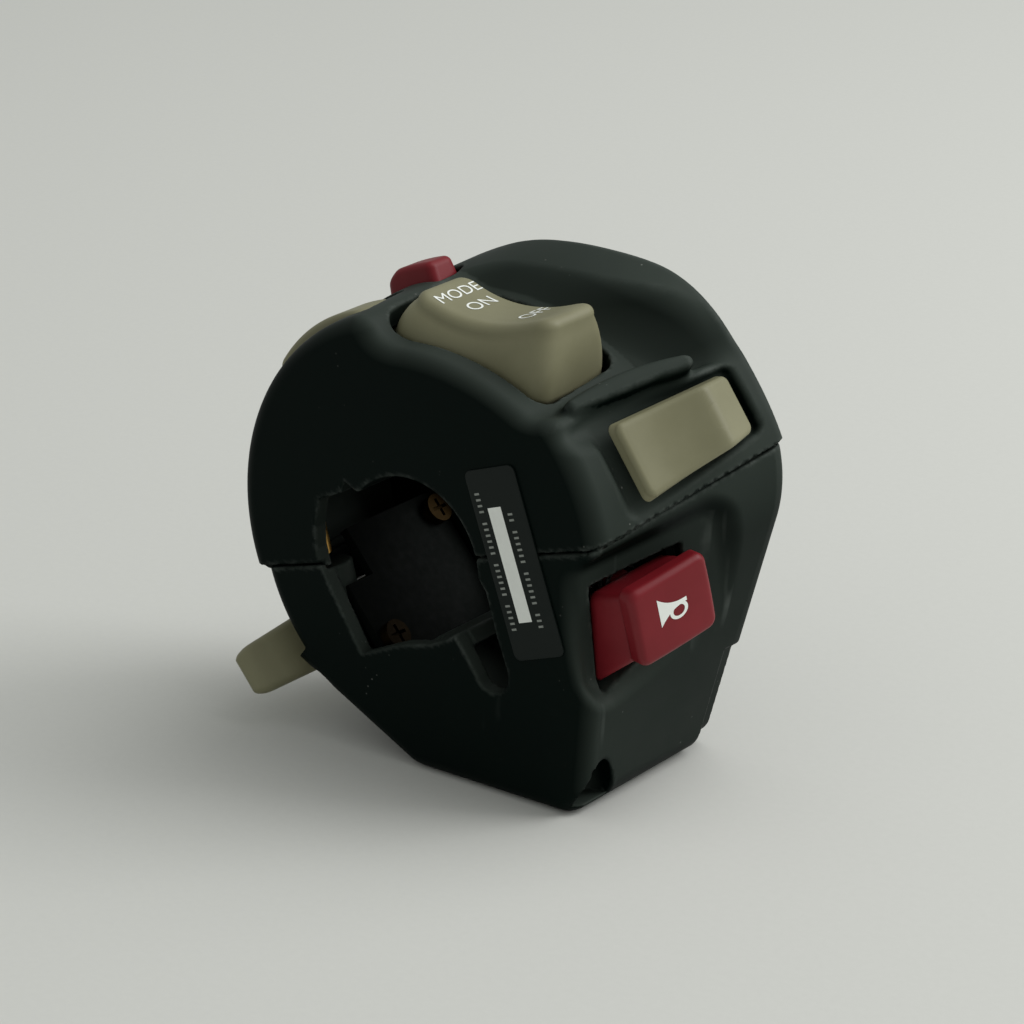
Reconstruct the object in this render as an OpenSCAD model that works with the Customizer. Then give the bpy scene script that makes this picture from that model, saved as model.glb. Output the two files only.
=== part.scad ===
// Handlebar switch cluster for the left grip: two casing halves round the bar, with six controls.
// Millimetres. The bar's axis is Y, with Y = 0 in the flat end face beside the grip.
// +X points to the rider and +Z is up as the cluster stands on its bottom facet.

/* [Casing] */
// Radius of the bore for a 22.2 mm handlebar
bar_r = 11.2; // [10.8:0.05:12]
// Length of the casing along the bar
depth = 30; // [28:0.5:34]
// Wall thickness of the moulded halves
wall = 2.4; // [2:0.1:3]
// Size of the rounded rim of both end faces
edge = 2.3; // [1.5:0.1:3]
// Radius of the upper half beside the grip
grip_r = 29.4; // [29:0.1:30.4]
// Radius of the upper half at the inboard end
dome_r = 35.2; // [34.6:0.1:36]
// Tilt of the parting plane, rising to the rider
split_tilt = 15.5; // [14:0.5:17]
// Height by which the seam climbs on the rider side
seam_rise = 5.7; // [4:0.1:7]
// Open seam between the halves
seam_gap = 0.4; // [0.3:0.05:0.6]
// Height of the bottom facet below the bar's axis
foot_drop = 29; // [28.5:0.1:30.5]
// Radius of the deck under the mode rocker
deck_r = 28.9; // [28.4:0.1:29.2]
// Wall of the saddles that hold the bar
saddle_wall = 2.4; // [2:0.1:2.6]

/* [Mode rocker] */
// Angle of the rocker round the bar
rocker_a = 78; // [76:0.5:80]
// Length of the rocker round the bar
rocker_l = 22.8; // [21:0.1:23.4]
// Width of the rocker along the bar
rocker_w = 12.6; // [11:0.1:13]
// Swing to each side in degrees
rocker_swing = 4; // [2:0.5:4.5]

/* [Turn signal key] */
// Angle of the key round the bar
turn_a = 30; // [29.5:0.5:31]
// Slant of the flared rider side
flare = 21; // [20.5:0.1:22]
// Length of the key
turn_l = 18; // [16.5:0.1:18.2]
// Width of the key beside the grip
turn_w = 10.8; // [10.2:0.1:11]
// Slide to each side
turn_travel = 1.4; // [1:0.1:1.6]
// Push to cancel
turn_push = 1.5; // [1:0.1:1.6]

/* [Horn button] */
// Length of the horn pad
horn_l = 12.8; // [12:0.1:13.4]
// Width of the horn pad
horn_w = 11; // [10:0.1:11.4]
// Travel of the horn button
horn_travel = 2.2; // [1.2:0.1:2.3]

/* [Flasher trigger] */
// Angle of the trigger's wall round the bar
trigger_a = -140.3; // [-142:0.1:-138]
// Lean of the trigger away from the wall
trigger_lean = 27.3; // [26:0.1:30]
// Length from the pivot to the tip
trigger_l = 24.8; // [23:0.1:26]
// Swing to each side in degrees
trigger_swing = 4; // [2:0.5:4]

/* [Info rocker and hazard button] */
// Angle of the info rocker round the bar
info_a = 127; // [126.5:0.5:129]
// Length of the info rocker round the bar
info_l = 18.8; // [17:0.1:19]
// Width of the info rocker along the bar
info_w = 8.2; // [7.6:0.1:8.4]
// Swing of the info rocker to each side in degrees
info_swing = 4; // [2:0.5:4.5]
// Angle of the hazard button round the bar
hazard_a = 111.5; // [111:0.5:113]
// Length of the hazard button round the bar
hazard_l = 10.4; // [9:0.1:10.6]
// Travel of the hazard button
hazard_travel = 1.6; // [1:0.1:1.7]

/* [Fasteners and inlet] */
// Shank radius of the casing screws
screw_r = 1.6; // [1.4:0.05:1.8]
// Head radius of the casing screws
head_r = 2.8; // [2.5:0.05:2.9]
// Bore radius of the cable gland
gland_bore_r = 2.6; // [2:0.1:3]
// Thickness of the label
label_t = 0.25; // [0.15:0.05:0.4]

/* [Hidden] */
$fn = 64;
fit = 0.05;
seat = 0.3;
// Centres of the two ends of the upper half, as X and Z
up0 = [1, 3.2];
up1 = [6.2, 2.4];
shoulder_c = [14.6, 18.4];
shoulder_r = dome_r - 16.8;
// The lower half has a front arc, two bottom corners and a rider side
front_c = [1.5, 1];
front_r = grip_r - 2.1;
heel_r = 5;
heel_c = [1.5, heel_r - foot_drop];
toe_r = 4.6;
toe_c = [21.5, toe_r - foot_drop];
side0_c = [10, 2];
side0_r = grip_r - 9;
side1_c = [19.5, 11];
side1_r = dome_r - 16.6;
saddle_r = bar_r + saddle_wall;
screw_y = wall + 1.2;
wedge_u = 19;
deck_flat = deck_r - 1.1;
// Mode rocker, in a frame whose x points out from the bar at rocker_a
rocker_mid = -0.6;
rocker_y = 10;
rocker_pin_x = saddle_r + 7.9;
rocker_pin_r = 1;
rocker_plate = saddle_r + seat;
rocker_play = 0.4 + 7.2 * sin(rocker_swing);
rocker_dish = 17.4;
// Turn key, in a frame that lies in the flared side
turn_r0 = grip_r + 1.6;
turn_half = 5.2;
turn_side = 4;
turn_stop = turn_half + turn_travel + seat;
turn_base = -turn_push - 7.9;
turn_y = depth - 13.5;
key_y = turn_y + 1.6;
turn_roll = 4.6;
// Horn, in a frame with its origin on the flared side under the pad
horn_c = [side1_c[0] + side1_r - 5.5, 9.2, 0];
horn_flare = 15;
horn_roll = 14;
horn_guide = -12.6;
horn_skirt = -5;
horn_stem_y = -0.5;
horn_play = 0.4;
// Trigger, in a frame whose x points out from the bar at trigger_a
trigger_x = 22;
trigger_y = screw_y + head_r + 12.2;
trigger_z = 0.4;
trigger_hub = 2.8;
trigger_reach = 10.9 + trigger_l * sin(trigger_swing);
board_x = saddle_r + 1.1;
board_t = 1.4;
// Info rocker and hazard button
info_y = 8.5;
info_pin_r = 0.8;
info_plate = saddle_r + 6;
info_pin_x = info_plate + 5;
info_crown = 22;
info_play = 0.4 + 8.6 * sin(info_swing);
hazard_y = depth - 11.9;
hazard_w = 7;
hazard_stem_y = hazard_y - 0.7;
hazard_top = dome_r + 1;
hazard_guide = hazard_top - 11;
hazard_skirt = hazard_guide + 3.6 + hazard_travel;
// Casing screws, along the parting plane's normal, at u, Y, seat of the head
screw_spots = [[18.65, screw_y, -20.5], [-20, screw_y, -9.8]];
insert_l = 6;
insert_r = screw_r + 1.2;
boss_r = insert_r + 1.2;
board_end = 3.2;
board_spots = [[board_end + 2.2, 6.4], [depth - board_end - 2.2, -6.6]];
gland_c = [12, -20];

// Turns a local x axis to point out from the bar at an angle
module at_angle(a) {
  rotate([0, -a, 0])
    children();
}

// Block given by two opposite corners
module block(a, b) {
  translate(a)
    cube(b - a);
}

// Cylinder along Y
module rod_y(r, y0, y1) {
  translate([0, y1, 0])
    rotate([90, 0, 0])
      cylinder(r = r, h = y1 - y0);
}

// Cylinder along a local x axis
module rod_x(r, x0, x1) {
  translate([x0, 0, 0])
    rotate([0, 90, 0])
      cylinder(r = r, h = x1 - x0);
}

// Disc across the bar with its centre at X and Z
module disc(c, r, y0, y1) {
  translate([c[0], 0, c[1]])
    rod_y(r, y0, y1);
}

// Frame of the parting plane: x is u, z is the height above the plane
module split_frame() {
  at_angle(split_tilt)
    children();
}

module turn_frame() {
  at_angle(turn_a)
    translate([turn_r0, 0, 0])
      rotate([0, 0, -flare])
        rotate([turn_roll, 0, 0])
          children();
}

module horn_frame() {
  translate(horn_c)
    rotate([0, 0, -horn_flare])
      rotate([horn_roll, 0, 0])
        children();
}

module trigger_frame() {
  at_angle(trigger_a)
    translate([trigger_x, trigger_y, trigger_z])
      rotate([0, 0, trigger_lean])
        children();
}

// Coil spring along a local x axis, one unbroken tube of six sides
module coil(r, wire, turns, x0, x1) {
  rings = 10;
  n = turns * rings;
  pts = [for (i = [0:n]) for (k = [0:5])
    let (t = 360 * i / rings, q = r + wire * cos(60 * k))
    [x0 + wire + (x1 - x0 - 2 * wire) * i / n + wire * sin(60 * k), q * cos(t), q * sin(t)]];
  sides = [for (i = [0:n - 1]) for (k = [0:5])
    let (a = i * 6 + k, b = i * 6 + (k + 1) % 6)
    each [[a, b, a + 6], [b, b + 6, a + 6]]];
  caps = [for (k = [1:4]) each [[0, k + 1, k], [n * 6, n * 6 + k, n * 6 + k + 1]]];
  polyhedron(points = pts, faces = concat(sides, caps), convexity = 6);
}

// Tact switch on a plate: body along x from x0, with its plunger
module tact(x0, high, size, plunger) {
  block([x0, -size / 2, -size / 2], [x0 + high, size / 2, size / 2]);
  rod_x(size * 0.27, x0 + high - 0.1, x0 + high + plunger);
}

// Outer form of the upper half
module upper_form(grow) {
  hull() {
    disc(up0, grip_r - edge + grow, -grow, 0.1);
    disc(up0, grip_r + grow, edge, edge + 0.1);
    disc(up1, dome_r + grow, depth - edge - 0.1, depth - edge);
    disc(up1, dome_r - edge + grow, depth - 0.1, depth + grow);
    disc(shoulder_c, shoulder_r + grow, depth - edge - 0.1, depth - edge);
    disc(shoulder_c, shoulder_r - edge + grow, depth - 0.1, depth + grow);
  }
}

module upper_room() {
  hull() {
    disc(up0, grip_r - wall, wall, wall + 0.1);
    disc(up1, dome_r - wall, depth - wall - 0.1, depth - wall);
    disc(shoulder_c, shoulder_r - wall, depth - wall - 0.1, depth - wall);
  }
}

// Outer form of the lower half
module lower_form() {
  hull() {
    disc(front_c, front_r - edge, 0, 0.1);
    disc(heel_c, heel_r - edge, 0, 0.1);
    disc(toe_c, toe_r - edge, 0, 0.1);
    disc(side0_c, side0_r - edge, 0, 0.1);
    disc(front_c, front_r, edge, depth - edge);
    disc(heel_c, heel_r, edge, depth - edge);
    disc(toe_c, toe_r, edge, depth - edge);
    disc(side0_c, side0_r, edge, edge + 0.1);
    disc(side1_c, side1_r, depth - edge - 0.1, depth - edge);
    disc(front_c, front_r - edge, depth - 0.1, depth);
    disc(heel_c, heel_r - edge, depth - 0.1, depth);
    disc(toe_c, toe_r - edge, depth - 0.1, depth);
    disc(side1_c, side1_r - edge, depth - 0.1, depth);
  }
}

module lower_room() {
  hull() {
    disc(front_c, front_r - wall, wall, depth - wall);
    disc(heel_c, heel_r - wall, wall, depth - wall);
    disc(toe_c, toe_r - wall, wall, depth - wall);
    disc(side0_c, side0_r - wall, wall, wall + 0.1);
    disc(side1_c, side1_r - wall, depth - wall - 0.1, depth - wall);
  }
}

// Wedge by which the seam climbs on the rider side, lowered by drop
module seam_wedge(drop, inner) {
  split_frame()
    translate([inner, 0, 0])
      rotate([90, 0, 90])
        linear_extrude(60)
          polygon([[-1, -40], [depth + 5, -40], [depth + 5, seam_rise * (depth + 5) / depth - drop],
                   [0, -drop], [-1, -drop]]);
}

module above_seam() {
  difference() {
    split_frame()
      block([-70, -10, seam_gap / 2], [70, depth + 10, 80]);
    seam_wedge(-seam_gap / 2, wedge_u - seam_gap);
  }
}

module below_seam() {
  union() {
    split_frame()
      block([-70, -10, -80], [70, depth + 10, -seam_gap / 2]);
    seam_wedge(seam_gap / 2, wedge_u);
  }
}

// Pocket beside the bar in the grip-side end wall, with the long slot for the loom
module end_aperture() {
  translate([0, wall + 0.2, 0])
    rotate([90, 0, 0])
      linear_extrude(wall + 1.2)
        union() {
          polygon([[-8.4, 7.4], [-10.5, 8.4], [-11.1, 6.8], [-15, 4.9], [-15.6, 1], [-15.5, -2],
                   [-14.9, -4.2], [-8.1, -15.1], [-1.5, -12.1], [3.5, -10.7], [0, 0]]);
          polygon([[0, 0], [11.2, 0.4], [12.5, -1.2], [14.4, -7.3], [16, -11.4], [11.2, -13.4],
                   [8.4, -9.5]]);
          translate([13.5, -12.3])
            circle(r = 2.6);
        }
}

// Part of a ring round the bar between two angles
module saddle(a0, a1, r) {
  rotate([90, 0, 0])
    translate([0, 0, -depth + wall / 2])
      rotate([0, 0, a0])
        rotate_extrude(angle = a1 - a0)
          translate([bar_r - 1, 0])
            square([r - bar_r + 1, depth - wall]);
}

// Room above the deck under the mode rocker, up to the step of the dome
module deck_cut() {
  rotate([90, 0, 0])
    rotate([0, 0, 47])
      rotate_extrude(angle = 52)
        polygon([[deck_r, 2], [60, 2], [60, -22.5], [deck_r + 5.4, -21.5], [deck_r + 2.4, -19.4],
                 [deck_r, -2]]);
  at_angle(rocker_a)
    translate([deck_flat, 0, 0])
      rotate([0, 0, -8])
        block([0, -4, -13.2], [20, 17.8, 11.8]);
}

// Room above the slanted flat on top of the dome, lowered by drop
module cap_cut(drop) {
  translate([-30, depth - 9.5, dome_r - 2.2 - drop])
    rotate([28.4, 0, 0])
      block([0, 0, 0], [70, 20, 20]);
}

// Thumb fence between the rocker and the key
module fin() {
  at_angle(48.5)
    translate([turn_r0, 0, 0])
      rotate([0, 0, -flare])
        rotate([-9, 0, 0]) {
          block([-wall, 6.5, -1.5], [0.6, 20, 1.5]);
          for (y = [6.5, 20])
            translate([0, y, 0])
              rod_x(1.5, -wall, 0.6);
        }
}

module upper_shell() {
  color([0.09, 0.1, 0.1])
    difference() {
      union() {
        intersection() {
          difference() {
            upper_form(0);
            difference() {
              upper_room();
              cap_cut(wall + 0.2);
              // Floor of the deck
              at_angle(rocker_a)
                block([deck_flat - wall, 0, -15.8], [deck_flat + 20, 24.8, 12.2]);
            }
            deck_cut();
            cap_cut(0);
          }
          above_seam();
        }
        intersection() {
          saddle(split_tilt + 1, 139, saddle_r);
          above_seam();
        }
        fin();
        // Shelf under the info rocker
        at_angle(info_a)
          block([info_plate - seat - 1.4, wall - 0.4, -4.6],
                [info_plate - seat, info_y + info_w / 2 + 0.4, 6]);
        // Posts that carry the hazard button's guide
        intersection() {
          at_angle(hazard_a)
            for (s = [-1, 1])
              translate([0, hazard_y + 5.3, 3.2 * s])
                rod_x(1.2, hazard_guide + 1.6 + seat, hazard_top);
          upper_form(-0.4);
        }
        // Bosses for the threaded inserts
        intersection() {
          split_frame()
            for (p = screw_spots)
              translate([p[0], p[1], seam_gap / 2])
                cylinder(r = boss_r, h = insert_l + 1.8);
          upper_form(-0.4);
          above_seam();
        }
      }
      rod_y(bar_r, -1, depth + 1);
      end_aperture();
      // Window of the mode rocker
      at_angle(rocker_a)
        block([deck_flat - wall - 2, rocker_y - rocker_w / 2 - 0.5,
               rocker_mid - rocker_l / 2 - rocker_play],
              [deck_flat + 20, rocker_y + rocker_w / 2 + 0.5, rocker_mid + rocker_l / 2 + rocker_play]);
      // Window of the turn signal key
      turn_frame()
        key_plan(-5, 20, turn_travel + 0.3, 0.4);
      // Window of the info rocker
      at_angle(info_a)
        block([info_pin_x + 1.9, info_y - info_w / 2 - 0.4, -info_l / 2 - info_play],
              [info_pin_x + 20, info_y + info_w / 2 + 0.4, info_l / 2 + info_play]);
      // Window of the hazard button
      at_angle(hazard_a)
        block([hazard_skirt - 1.9, hazard_y - hazard_w / 2 - 0.35, -hazard_l / 2 - 0.35],
              [hazard_top + 9, hazard_y + hazard_w / 2 + 0.35, hazard_l / 2 + 0.35]);
      // Room for the hazard button's guide
      at_angle(hazard_a)
        block([hazard_guide - 0.4, hazard_y - 3.5, -4], [hazard_guide + 1.6 + seat, hazard_y + 6.9, 4.8]);
      // Holes for the inserts
      split_frame()
        for (p = screw_spots)
          translate([p[0], p[1], -1])
            cylinder(r = insert_r + fit, h = insert_l + 1.6);
    }
}

module lower_shell() {
  color([0.08, 0.09, 0.09])
    difference() {
      union() {
        intersection() {
          difference() {
            lower_form();
            difference() {
              lower_room();
              // Floor and walls of the horn's scoop
              horn_frame()
                block([-6.2, -13, -9.6], [4, 13.6, 9.2]);
              // Bosses of the casing screws
              split_frame()
                for (p = screw_spots)
                  translate([p[0], p[1], -40])
                    cylinder(r = head_r + 0.9, h = 40);
            }
          }
          below_seam();
        }
        saddle(-80, -48, saddle_r);
        // Ears that hold the trigger's pin
        at_angle(trigger_a)
          for (z = [trigger_z - 6.6, trigger_z + 4.8])
            block([trigger_x - 3.6, trigger_y - 2.8, z], [trigger_x + 1.2, trigger_y + 2.8, z + 1.8]);
        // Posts for the circuit board
        at_angle(trigger_a)
          for (p = board_spots)
            translate([0, p[0], p[1]])
              rod_x(2.1, board_x + board_t, 23);
        // Posts for the horn's guide plate
        horn_frame()
          for (s = [-1, 1])
            translate([0, 8.9, 3.4 * s])
              rod_x(1.3, horn_guide + 1.6 + seat, -5.6);
      }
      rod_y(bar_r, -1, depth + 1);
      end_aperture();
      // Scoop round the horn button, and the button's window
      horn_frame() {
        block([-4, -10.4, -7.4], [30, 11.4, 7.8]);
        block([-8, -horn_l / 2 - horn_play - 0.4, -horn_w / 2 - horn_play],
              [0, horn_l / 2 + horn_play, horn_w / 2 + horn_play]);
      }
      // Window of the flasher trigger
      at_angle(trigger_a)
        block([trigger_x - 4, trigger_y - trigger_reach, trigger_z - 4.7],
              [40, trigger_y + 3.6, trigger_z + 4.7]);
      at_angle(trigger_a)
        translate([trigger_x, trigger_y, trigger_z - 10])
          cylinder(r = 1 + fit, h = 20);
      at_angle(trigger_a)
        for (p = board_spots)
          translate([0, p[0], p[1]])
            rod_x(1 + fit, board_x, board_x + 6);
      // Counterbores and holes of the casing screws
      split_frame()
        for (p = screw_spots) {
          translate([p[0], p[1], p[2] - 30])
            cylinder(r = head_r + 0.3, h = 30);
          translate([p[0], p[1], -40])
            cylinder(r = screw_r + 0.2, h = 60);
        }
      // Hole of the cable gland
      disc(gland_c, gland_bore_r + 1.6, depth - wall - 1, depth + 1);
    }
}

module casing_screws() {
  color([0.72, 0.72, 0.7])
    split_frame()
      for (p = screw_spots)
        translate([p[0], p[1], 0])
          difference() {
            union() {
              translate([0, 0, p[2] - 2.6])
                cylinder(r = head_r, h = 2.6);
              translate([0, 0, p[2] - 0.1])
                cylinder(r = screw_r, h = insert_l - p[2]);
            }
            translate([0, 0, p[2] - 3])
              cylinder(r = 1.5, h = 1.8, $fn = 6);
          }
}

module screw_inserts() {
  color([0.72, 0.55, 0.25])
    split_frame()
      for (p = screw_spots)
        translate([p[0], p[1], seam_gap / 2 + 0.2])
          difference() {
            cylinder(r = insert_r, h = insert_l);
            translate([0, 0, -1])
              cylinder(r = screw_r + fit, h = insert_l + 2);
          }
}

module label() {
  color([0.13, 0.14, 0.14])
    translate([17.35, 0, 3.9])
      rotate([0, -19.3, 0])
        rotate([90, 0, 0])
          linear_extrude(label_t) {
            square([6.2, 25.2], center = true);
            square([8.2, 23.2], center = true);
            for (x = [-3.1, 3.1])
              for (y = [-11.6, 11.6])
                translate([x, y])
                  circle(r = 1);
          }
}

module mode_rocker() {
  base = deck_flat - 3;
  color([0.56, 0.54, 0.46])
    at_angle(rocker_a)
      difference() {
        union() {
          // Cap, seen along the bar
          translate([0, rocker_y + rocker_w / 2, rocker_mid])
            rotate([90, 0, 0])
              linear_extrude(rocker_w)
                polygon([[base, -rocker_l / 2 + 0.8], [base, rocker_l / 2 - 0.8],
                         [deck_flat, rocker_l / 2], [deck_flat + 6.6, rocker_l / 2 - 1.3],
                         [deck_flat + 10.4, -rocker_l / 2 + 1.5], [deck_flat, -rocker_l / 2]]);
          // Hub on the pin
          block([rocker_pin_x - 2.2, rocker_y - 4.6, -2.6], [base + 0.5, rocker_y + 4.6, 2.6]);
          // Feet above the switches
          for (s = [-1, 1])
            translate([0, rocker_y, 7 * s])
              block([rocker_pin_x - 1.4, -2, -1.5], [base + 0.5, 2, 1.5]);
        }
        // Dished top
        translate([deck_flat + 5.3 + rocker_dish, 0, 4])
          rod_y(rocker_dish, 0, rocker_y + rocker_w);
        translate([rocker_pin_x, 0, 0])
          rod_y(rocker_pin_r + 0.06, 0, 30);
        // Room for the bracket's ears
        for (s = [-1, 1])
          translate([0, rocker_y + 6.3 * s, 0])
            block([rocker_pin_x - 4, -1.4, -3.4], [rocker_pin_x + 2.6, 1.4, 3.4]);
      }
}

module rocker_pin() {
  color([0.7, 0.7, 0.7])
    at_angle(rocker_a)
      translate([rocker_pin_x, 0, 0])
        rod_y(rocker_pin_r, rocker_y - 6.6, rocker_y + 6.6);
}

module rocker_bracket() {
  color([0.2, 0.2, 0.2])
    at_angle(rocker_a)
      difference() {
        union() {
          block([rocker_plate, rocker_y - 7, -9], [rocker_plate + 1.4, rocker_y + 7, 10]);
          for (y = [rocker_y - 7, rocker_y + 5.4])
            block([rocker_plate, y, -2.8], [rocker_pin_x + 2, y + 1.6, 2.8]);
        }
        translate([rocker_pin_x, 0, 0])
          rod_y(rocker_pin_r + 0.02, 0, 30);
      }
}

module rocker_switches() {
  color([0.15, 0.15, 0.16])
    at_angle(rocker_a)
      for (s = [-1, 1])
        translate([0, rocker_y, 7 * s])
          tact(rocker_plate + 1.4, 3.2, 5.8, 0.7);
}

// Plan of the key, narrower at the dome end, made longer by reach and wider by grow
module key_plan(x0, x1, reach, grow) {
  a = turn_w / 2 + grow;
  b = turn_w / 2 - 1.3 + grow;
  translate([x0, key_y, 0])
    rotate([90, 0, 90])
      linear_extrude(x1 - x0)
        polygon([[-turn_l / 2 - reach, -a], [turn_l / 2 + reach, -b], [turn_l / 2 + reach, b],
                 [-turn_l / 2 - reach, a]]);
}

module turn_key() {
  top = 3.2;
  color([0.56, 0.54, 0.46])
    turn_frame()
      difference() {
        union() {
          intersection() {
            translate([0, key_y, -turn_w / 2])
              linear_extrude(turn_w)
                polygon([[-3, -turn_l / 2], [top - 0.4, -turn_l / 2 + 0.3], [top + 0.8, turn_l / 2 - 5.6],
                         [top + 0.8, turn_l / 2 - 4.6], [top - 0.4, turn_l / 2 - 0.4], [-3, turn_l / 2]]);
            key_plan(-4, 10, 0, 0);
          }
          translate([0, turn_y, 0])
            rod_x(1.9, -7.6, -2);
        }
        // Dished thumb face
        translate([top + 21, key_y - 3, -20])
          cylinder(r = 21.2, h = 40);
      }
}

module turn_carriage() {
  color([0.25, 0.25, 0.25])
    turn_frame()
      difference() {
        block([-7.4, turn_y - turn_half, -turn_side], [-5.4, turn_y + turn_half, turn_side]);
        translate([0, turn_y, 0])
          rod_x(1.9 + fit, -9, 0);
      }
}

module turn_track() {
  y0 = turn_y - turn_stop - 1.2;
  y1 = turn_y + turn_stop + 0.6;
  color([0.2, 0.2, 0.2])
    turn_frame() {
      block([turn_base - 1.4, y0, -turn_side - 1.3], [turn_base, y1, turn_side + 1.3]);
      for (s = [-1, 1]) {
        translate([0, 0, s * (turn_side + 0.8)])
          block([turn_base - 1.4, y0, -0.5], [-3 - turn_push - 0.5, y1, 0.5]);
        translate([0, 0, s * (turn_side + 0.1)])
          block([turn_base - 0.2, y0, -0.5], [-7.7, y1, 0.5]);
      }
    }
}

module turn_spring() {
  color([0.7, 0.7, 0.7])
    turn_frame()
      translate([0, turn_y, 0])
        coil(2.7, 0.22, 2, -5.4 + 0.05, -3 - 0.05);
}

module turn_switches() {
  color([0.15, 0.15, 0.16])
    turn_frame()
      for (s = [-1, 1])
        translate([0, turn_y + (turn_stop + 0.6) * s, 0])
          block([turn_base, -0.6, -3], [-5.6, 0.6, 3]);
}

module horn_button() {
  color([0.36, 0.05, 0.08])
    horn_frame() {
      translate([0, 0, -horn_w / 2])
        linear_extrude(horn_w)
          polygon([[horn_skirt, -horn_l / 2 - 0.4], [0.6, -horn_l / 2 - 0.2], [3, -horn_l / 2 + 1.2],
                   [2.6, horn_l / 2 - 0.3], [horn_skirt, horn_l / 2]]);
      translate([0, horn_stem_y, 0])
        rod_x(2, horn_guide - 0.8, horn_skirt + 1);
    }
}

module horn_guide_plate() {
  color([0.2, 0.2, 0.2])
    horn_frame()
      difference() {
        block([horn_guide, -3.4, -4.8], [horn_guide + 1.6, 10.4, 4.8]);
        translate([0, horn_stem_y, 0])
          rod_x(2 + fit, -20, 0);
      }
}

module horn_spring() {
  color([0.7, 0.7, 0.7])
    horn_frame()
      translate([0, horn_stem_y, 0])
        coil(2.75, 0.25, 4, horn_guide + 1.65, horn_skirt - 0.05);
}

module horn_switch() {
  color([0.15, 0.15, 0.16])
    horn_frame()
      translate([0, 4.9, 0])
        tact(horn_guide + 1.6, horn_skirt - horn_travel - horn_guide - 2.4, 3.4, 0.5);
}

module flasher_trigger() {
  color([0.56, 0.54, 0.46])
    trigger_frame()
      difference() {
        union() {
          translate([0, 0, -3.5])
            cylinder(r = trigger_hub, h = 7);
          rotate([0, 90, 0])
            translate([0, 0, -1.5])
              linear_extrude(3)
                polygon([[-3.5, 0], [3.5, 0], [4.1, -7], [4.1, -12], [3.4, -trigger_l + 1],
                         [2.6, -trigger_l], [-2.6, -trigger_l], [-3.4, -trigger_l + 1], [-4.1, -12],
                         [-4.1, -7]]);
        }
        translate([0, 0, -10])
          cylinder(r = 1.06, h = 20);
      }
}

module trigger_pin() {
  color([0.7, 0.7, 0.7])
    at_angle(trigger_a)
      translate([trigger_x, trigger_y, trigger_z - 6.4])
        cylinder(r = 1, h = 12.8);
}

module trigger_spring() {
  color([0.7, 0.7, 0.7])
    at_angle(trigger_a)
      translate([trigger_x, trigger_y, trigger_z])
        rotate([0, -90, 0])
          coil(1.7, 0.16, 1, -4.65, -3.8);
}

module trigger_switch() {
  color([0.15, 0.15, 0.16])
    at_angle(trigger_a)
      translate([0, trigger_y - 6.6, trigger_z])
        tact(board_x + board_t, 3.2, 5.8, 1);
}

module info_rocker() {
  color([0.56, 0.54, 0.46])
    at_angle(info_a)
      difference() {
        union() {
          intersection() {
            block([info_pin_x + 2.8, info_y - info_w / 2, -info_l / 2],
                  [info_pin_x + 12, info_y + info_w / 2, info_l / 2]);
            translate([info_pin_x + 9.8 - info_crown, 0, 0])
              rod_y(info_crown, 0, info_y + info_w);
          }
          block([info_pin_x - 2, info_y - 2.4, -2.2], [info_pin_x + 4, info_y + 2.4, 2.2]);
          for (s = [-1, 1])
            translate([0, info_y, 5.2 * s])
              block([info_pin_x - 0.7, -2, -1.1], [info_pin_x + 4, 2, 1.1]);
        }
        translate([info_pin_x, 0, 0])
          rod_y(info_pin_r + 0.06, 0, 30);
      }
}

module info_pin() {
  color([0.7, 0.7, 0.7])
    at_angle(info_a)
      translate([info_pin_x, 0, 0])
        rod_y(info_pin_r, info_y - 4.3, info_y + 4.3);
}

module info_bracket() {
  color([0.2, 0.2, 0.2])
    at_angle(info_a)
      difference() {
        union() {
          block([info_plate, info_y - 4.5, -6.8], [info_plate + 1.2, info_y + 4.5, 7.6]);
          for (y = [info_y - 4.5, info_y + 3.1])
            block([info_plate, y, -2.2], [info_pin_x + 1.6, y + 1.4, 2.2]);
        }
        translate([info_pin_x, 0, 0])
          rod_y(info_pin_r + 0.02, 0, 30);
      }
}

module info_switches() {
  color([0.15, 0.15, 0.16])
    at_angle(info_a)
      for (s = [-1, 1])
        translate([0, info_y, 4.9 * s])
          tact(info_plate + 1.2, 1.8, 3.4, 0.4);
}

module hazard_button() {
  color([0.36, 0.05, 0.08])
    at_angle(hazard_a) {
      translate([0, hazard_y, 0])
        block([hazard_skirt, -hazard_w / 2, -hazard_l / 2], [hazard_top, hazard_w / 2, hazard_l / 2]);
      translate([0, hazard_stem_y, 0])
        rod_x(1.8, hazard_guide - 1, hazard_skirt + 0.6);
    }
}

module hazard_guide_plate() {
  color([0.2, 0.2, 0.2])
    at_angle(hazard_a)
      difference() {
        block([hazard_guide, hazard_y - 3.1, -3.6], [hazard_guide + 1.6, hazard_y + 6.5, 4.4]);
        translate([0, hazard_stem_y, 0])
          rod_x(1.8 + fit, hazard_guide - 5, hazard_guide + 5);
      }
}

module hazard_spring() {
  color([0.7, 0.7, 0.7])
    at_angle(hazard_a)
      translate([0, hazard_stem_y, 0])
        coil(2.4, 0.2, 3, hazard_guide + 1.65, hazard_skirt - 0.05);
}

module hazard_switch() {
  color([0.15, 0.15, 0.16])
    at_angle(hazard_a)
      translate([0, hazard_y + 3.3, 0])
        tact(hazard_guide + 1.6, 1.3, 2.2, 0.2);
}

module circuit_board() {
  color([0.1, 0.3, 0.18])
    at_angle(trigger_a)
      difference() {
        block([board_x, board_end, -9.4], [board_x + board_t, depth - board_end, 9.4]);
        block([board_x - 1, board_end - 1, -10], [board_x + board_t + 1, screw_y + 4.8, -2.4]);
        for (p = board_spots)
          translate([0, p[0], p[1]])
            rod_x(1.1, board_x - 1, board_x + 3);
      }
}

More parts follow.
